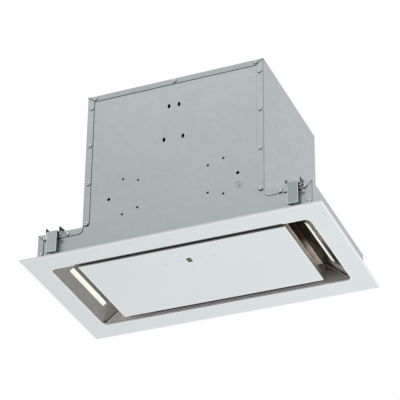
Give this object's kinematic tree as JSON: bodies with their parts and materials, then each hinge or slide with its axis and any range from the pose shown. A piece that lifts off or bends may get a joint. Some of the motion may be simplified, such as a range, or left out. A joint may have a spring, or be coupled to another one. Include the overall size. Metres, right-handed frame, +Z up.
{
  "type": "built-in range hood",
  "caption": "Cabinet-fitted range hood with perimeter intake, hinged glass panel, light strips, filter, blower and top spigot.",
  "frame": {"origin": "centre of the glass frame's underside, the face that is flush under the cabinet", "axes": "+X to the right seen from the pierced front face, -Y out of that face, +Z up towards the exhaust"},
  "size_m": [0.521, 0.297, 0.342],
  "materials": {
    "white_glass": "back-painted white, polished edges",
    "backing_steel": "satin",
    "brushed_stainless": "brushed",
    "diffuser": "translucent white",
    "circuit_board": "solder mask",
    "galvanised_sheet": "fine spangle",
    "screw_steel": "zinc plated",
    "display_glass": "smoked",
    "ring_print": "printed",
    "bracket_steel": "zinc plated",
    "catch_plastic": "moulded",
    "magnet": "sintered",
    "mesh_aluminium": "expanded mesh",
    "blower_plastic": "moulded",
    "motor_steel": "laminated steel and end bells",
    "capacitor_can": "moulded can",
    "spigot_plastic": "moulded",
    "box_plastic": "moulded",
    "gland_plastic": "moulded",
    "clip_steel": "zinc plated spring steel",
    "spring_steel": "oiled"
  },
  "bodies": {
    "hood": {"glass_frame": "white_glass", "frame_backing": "backing_steel", "funnel_wall_front": "brushed_stainless", "funnel_wall_rear": "brushed_stainless", "light_plate_left": "brushed_stainless", "light_plate_right": "brushed_stainless", "led_lens_left": "diffuser", "led_lens_right": "diffuser", "led_board_left": "circuit_board", "led_board_right": "circuit_board", "front_panel": "galvanised_sheet", "rear_panel": "galvanised_sheet", "side_panel_left": "galvanised_sheet", "side_panel_right": "galvanised_sheet", "top_panel": "galvanised_sheet", "casing_screws_front": "screw_steel", "casing_screws_rear": "screw_steel", "hinge_brackets": "bracket_steel", "hinge_pins": "screw_steel", "catch_housings": "catch_plastic", "catch_magnets": "magnet", "filter_frame": "brushed_stainless", "filter_mesh": "mesh_aluminium", "blower_half_left": "blower_plastic", "blower_half_right": "blower_plastic", "outlet_plenum": "blower_plastic", "motor": "motor_steel", "motor_bracket": "bracket_steel", "run_capacitor": "capacitor_can", "exhaust_spigot": "spigot_plastic", "spigot_screws": "screw_steel", "flap_pin": "screw_steel", "control_box": "box_plastic", "control_lid": "box_plastic", "control_board": "circuit_board", "led_driver": "box_plastic", "mains_gland": "gland_plastic", "clip_brackets": "bracket_steel", "clip_pins": "screw_steel"},
    "panel": {"panel_glass": "white_glass", "panel_tray": "brushed_stainless", "display_window": "display_glass", "touch_rings": "ring_print", "touch_board": "circuit_board", "panel_hinge_arms": "bracket_steel", "panel_strikers": "bracket_steel"},
    "latch": {"filter_latch": "catch_plastic"},
    "fan": {"fan_wheel": "blower_plastic", "fan_shaft": "screw_steel"},
    "flap_front_body": {"flap_front": "spigot_plastic"},
    "flap_rear_body": {"flap_rear": "spigot_plastic"},
    "clip_front_left_body": {"clip_front_left": "clip_steel", "clip_spring_front_left": "spring_steel"},
    "clip_front_right_body": {"clip_front_right": "clip_steel", "clip_spring_front_right": "spring_steel"},
    "clip_rear_left_body": {"clip_rear_left": "clip_steel", "clip_spring_rear_left": "spring_steel"},
    "clip_rear_right_body": {"clip_rear_right": "clip_steel", "clip_spring_rear_right": "spring_steel"}
  },
  "joints": [
    {"name": "panel_hinge", "type": "hinge", "parent": "hood", "child": "panel", "pos_m": [0, 0.089, 0.013], "axis": [1, 0, 0], "range_deg": [0, 90]},
    {"name": "filter_latch_slide", "type": "slide", "parent": "hood", "child": "latch", "axis": [0, 1, 0], "range_m": [0, 0.006], "stiffness_N_per_m": 300, "springref_m": -0.006},
    {"name": "fan_spin", "type": "hinge", "parent": "hood", "child": "fan", "pos_m": [0, 0, 0.167], "axis": [1, 0, 0], "continuous": true},
    {"name": "flap_front_hinge", "type": "hinge", "parent": "hood", "child": "flap_front_body", "pos_m": [0, 0, 0.324], "axis": [-1, 0, 0], "range_deg": [0, 75]},
    {"name": "flap_rear_hinge", "type": "hinge", "parent": "hood", "child": "flap_rear_body", "pos_m": [0, 0, 0.324], "axis": [1, 0, 0], "range_deg": [0, 75]},
    {"name": "clip_front_left_hinge", "type": "hinge", "parent": "hood", "child": "clip_front_left_body", "pos_m": [-0.2096, -0.1326, 0.04], "axis": [1, 0, 0], "range_deg": [0, 8], "stiffness_Nm_per_rad": 0.3, "springref_deg": -17.19},
    {"name": "clip_front_right_hinge", "type": "hinge", "parent": "hood", "child": "clip_front_right_body", "pos_m": [0.2096, -0.1326, 0.04], "axis": [1, 0, 0], "range_deg": [0, 8], "stiffness_Nm_per_rad": 0.3, "springref_deg": -17.19},
    {"name": "clip_rear_left_hinge", "type": "hinge", "parent": "hood", "child": "clip_rear_left_body", "pos_m": [-0.2096, 0.1326, 0.04], "axis": [-1, 0, 0], "range_deg": [0, 8], "stiffness_Nm_per_rad": 0.3, "springref_deg": -17.19},
    {"name": "clip_rear_right_hinge", "type": "hinge", "parent": "hood", "child": "clip_rear_right_body", "pos_m": [0.2096, 0.1326, 0.04], "axis": [-1, 0, 0], "range_deg": [0, 8], "stiffness_Nm_per_rad": 0.3, "springref_deg": -17.19}
  ]
}
